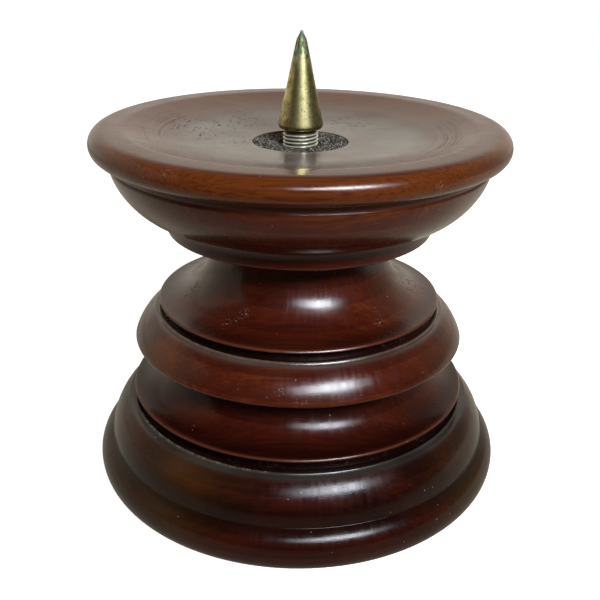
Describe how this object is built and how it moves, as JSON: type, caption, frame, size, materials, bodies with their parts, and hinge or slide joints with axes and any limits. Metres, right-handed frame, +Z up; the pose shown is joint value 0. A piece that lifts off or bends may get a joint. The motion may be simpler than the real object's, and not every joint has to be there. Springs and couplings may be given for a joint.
{
  "type": "pricket candle holder",
  "caption": "Low turned mahogany candle holder with a round moulded foot, coved waist and neck, a shallow saucer dish and a screw-in brass pricket spike.",
  "frame": {"origin": "centre of the foot's sole, on the surface that the holder stands on", "axes": "+Z up along the turning axis and the spike; -Y faces the camera of the picture"},
  "size_m": [0.1242, 0.1242, 0.1313],
  "materials": {
    "mahogany": "french polished, glossy",
    "brass": "turned, tarnished",
    "steel": "plated",
    "dark_felt": "worn felt",
    "green_baize": "baize"
  },
  "bodies": {
    "stand": {"foot": "mahogany", "waist_bell": "mahogany", "middle_ring": "mahogany", "neck_bell": "mahogany", "dish": "mahogany", "tie_rod": "steel", "top_washer": "steel", "coupling": "brass", "bottom_washer": "steel", "bottom_nut": "steel", "felt_pad": "green_baize"},
    "washer": {"felt_washer": "dark_felt"},
    "spike": {"spike": "brass"}
  },
  "joints": [
    {"name": "spike_turn", "type": "hinge", "parent": "stand", "child": "washer", "pos_m": [0, 0, 0.1008], "axis": [0, 0, 1], "range_deg": [-1404, 1620]},
    {"name": "spike_rise", "type": "slide", "parent": "washer", "child": "spike", "axis": [0, 0, 1], "range_m": [-0.00391, 0.00451]}
  ],
  "couplings": [
    {"joint": "spike_rise", "follows": "spike_turn", "m_per_rad": 0.00015915}
  ]
}
